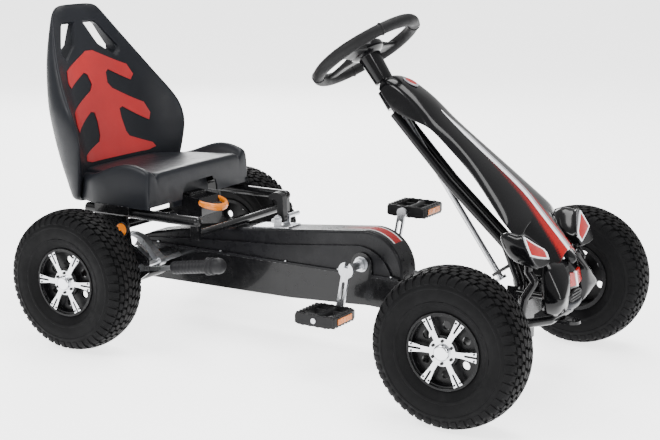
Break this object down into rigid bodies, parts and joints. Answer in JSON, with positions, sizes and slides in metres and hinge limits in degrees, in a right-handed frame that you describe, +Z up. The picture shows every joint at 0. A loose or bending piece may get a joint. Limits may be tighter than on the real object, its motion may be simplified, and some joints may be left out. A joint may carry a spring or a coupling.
{
  "type": "pedal go kart",
  "caption": "Four-wheeled pedal go kart with a sliding bucket seat, chain drive to the rear axle, steered front wheels and a fairing over the steering column.",
  "frame": {"origin": "on the ground, under the centre of the bounding box", "axes": "+X forward, +Y to the driver's left, +Z up"},
  "size_m": [1.2867, 0.7254, 0.7148],
  "materials": {
    "tyre": "block tread rubber",
    "frame_black": "gloss black powder coat",
    "gloss_black": "gloss black moulding with printed graphics",
    "seat_grey": "fine grained blue-grey moulding",
    "rim_black": "satin black",
    "satin_alloy": "satin silver",
    "zinc_steel": "zinc plated",
    "chrome": "bright",
    "black_plastic": "grained",
    "grip_rubber": "ribbed",
    "wheel_rubber": "soft foam grip",
    "lens_red": "red with white border",
    "amber": "amber"
  },
  "bodies": {
    "chassis": {"main_beam": "frame_black", "chain_cover": "gloss_black", "cover_bolts": "zinc_steel", "rear_frame": "frame_black", "axle_bearings": "zinc_steel", "axle_beam": "frame_black", "strut_frame": "frame_black", "steering_bushes": "black_plastic", "head_shroud": "gloss_black", "bumper": "frame_black", "fairing": "gloss_black", "nose": "gloss_black", "headlight_pods": "gloss_black", "headlight_lenses": "lens_red", "nose_grille": "black_plastic", "kingpins": "zinc_steel", "chain": "zinc_steel", "crank_bearings": "zinc_steel", "gear_bracket": "zinc_steel"},
    "steering": {"steering_column": "zinc_steel", "steering_rim": "wheel_rubber", "steering_pad": "gloss_black"},
    "knuckle_right": {"knuckle_right": "frame_black"},
    "knuckle_left": {"knuckle_left": "frame_black"},
    "track_rod": {"track_rod": "frame_black"},
    "wheel_front_right": {"tyre_front_right": "tyre", "rim_front_right": "rim_black", "trim_front_right": "satin_alloy", "hub_cap_front_right": "chrome", "bearings_front_right": "zinc_steel"},
    "wheel_front_left": {"tyre_front_left": "tyre", "rim_front_left": "rim_black", "trim_front_left": "satin_alloy", "hub_cap_front_left": "chrome", "bearings_front_left": "zinc_steel"},
    "wheel_rear_right": {"tyre_rear_right": "tyre", "rim_rear_right": "rim_black", "trim_rear_right": "satin_alloy", "hub_cap_rear_right": "chrome", "bearings_rear_right": "zinc_steel"},
    "rear_axle": {"rear_axle": "zinc_steel", "rear_sprocket": "zinc_steel", "brake_drum": "zinc_steel", "tyre_rear_left": "tyre", "rim_rear_left": "rim_black", "trim_rear_left": "satin_alloy", "hub_cap_rear_left": "chrome"},
    "cranks": {"crank_axle": "zinc_steel", "chainwheel": "zinc_steel", "crank_right": "zinc_steel", "crank_left": "zinc_steel"},
    "pedal_right": {"pedal_right": "black_plastic"},
    "pedal_left": {"pedal_left": "black_plastic"},
    "gear_lever": {"gear_lever": "black_plastic"},
    "brake": {"brake_shaft": "zinc_steel", "brake_lever": "zinc_steel", "brake_grip": "grip_rubber"},
    "seat": {"seat": "seat_grey", "seat_mount": "frame_black"},
    "seat_handle": {"seat_handle": "amber"}
  },
  "joints": [
    {"name": "steer", "type": "hinge", "parent": "chassis", "child": "steering", "pos_m": [0.128, 0, 0.636], "axis": [-0.5879, 0, 0.8089], "range_deg": [-30, 30]},
    {"name": "knuckle_right_turn", "type": "hinge", "parent": "chassis", "child": "knuckle_right", "pos_m": [0.489, -0.24, 0.15], "axis": [0, 0, 1], "range_deg": [-30, 30]},
    {"name": "knuckle_left_turn", "type": "hinge", "parent": "chassis", "child": "knuckle_left", "pos_m": [0.489, 0.24, 0.15], "axis": [0, 0, 1], "range_deg": [-30, 30]},
    {"name": "track_rod_shift", "type": "hinge", "parent": "knuckle_right", "child": "track_rod", "pos_m": [0.429, -0.24, 0.127], "axis": [0, 0, 1], "range_deg": [-30, 30]},
    {"name": "front_right_spin", "type": "hinge", "parent": "knuckle_right", "child": "wheel_front_right", "pos_m": [0.489, -0.313, 0.15], "axis": [0, 1, 0], "continuous": true},
    {"name": "front_left_spin", "type": "hinge", "parent": "knuckle_left", "child": "wheel_front_left", "pos_m": [0.489, 0.313, 0.15], "axis": [0, 1, 0], "continuous": true},
    {"name": "rear_axle_spin", "type": "hinge", "parent": "chassis", "child": "rear_axle", "pos_m": [-0.395, 0, 0.15], "axis": [0, 1, 0], "continuous": true},
    {"name": "rear_right_spin", "type": "hinge", "parent": "rear_axle", "child": "wheel_rear_right", "pos_m": [-0.395, -0.304, 0.15], "axis": [0, 1, 0], "continuous": true},
    {"name": "crank_spin", "type": "hinge", "parent": "chassis", "child": "cranks", "pos_m": [0.147, 0, 0.2], "axis": [0, 1, 0], "continuous": true},
    {"name": "pedal_right_spin", "type": "hinge", "parent": "cranks", "child": "pedal_right", "pos_m": [0.13224, -0.163, 0.11629], "axis": [0, 1, 0], "continuous": true},
    {"name": "pedal_left_spin", "type": "hinge", "parent": "cranks", "child": "pedal_left", "pos_m": [0.16176, 0.163, 0.28371], "axis": [0, 1, 0], "continuous": true},
    {"name": "seat_slide", "type": "slide", "parent": "chassis", "child": "seat", "axis": [1, 0, 0], "range_m": [0, 0.06]},
    {"name": "seat_handle_lift", "type": "hinge", "parent": "seat", "child": "seat_handle", "pos_m": [-0.284, 0, 0.28], "axis": [0, -1, 0], "range_deg": [0, 15]},
    {"name": "brake_pull", "type": "hinge", "parent": "chassis", "child": "brake", "pos_m": [-0.322, -0.206, 0.16], "axis": [0, -1, 0], "range_deg": [0, 16]},
    {"name": "gear_select", "type": "hinge", "parent": "chassis", "child": "gear_lever", "pos_m": [-0.075, 0, 0.264], "axis": [0, 1, 0], "range_deg": [-12, 12]}
  ],
  "couplings": [
    {"joint": "knuckle_right_turn", "follows": "steer", "ratio": 1},
    {"joint": "knuckle_left_turn", "follows": "steer", "ratio": 1},
    {"joint": "track_rod_shift", "follows": "steer", "ratio": -1},
    {"joint": "rear_axle_spin", "follows": "crank_spin", "ratio": 1.5556}
  ]
}
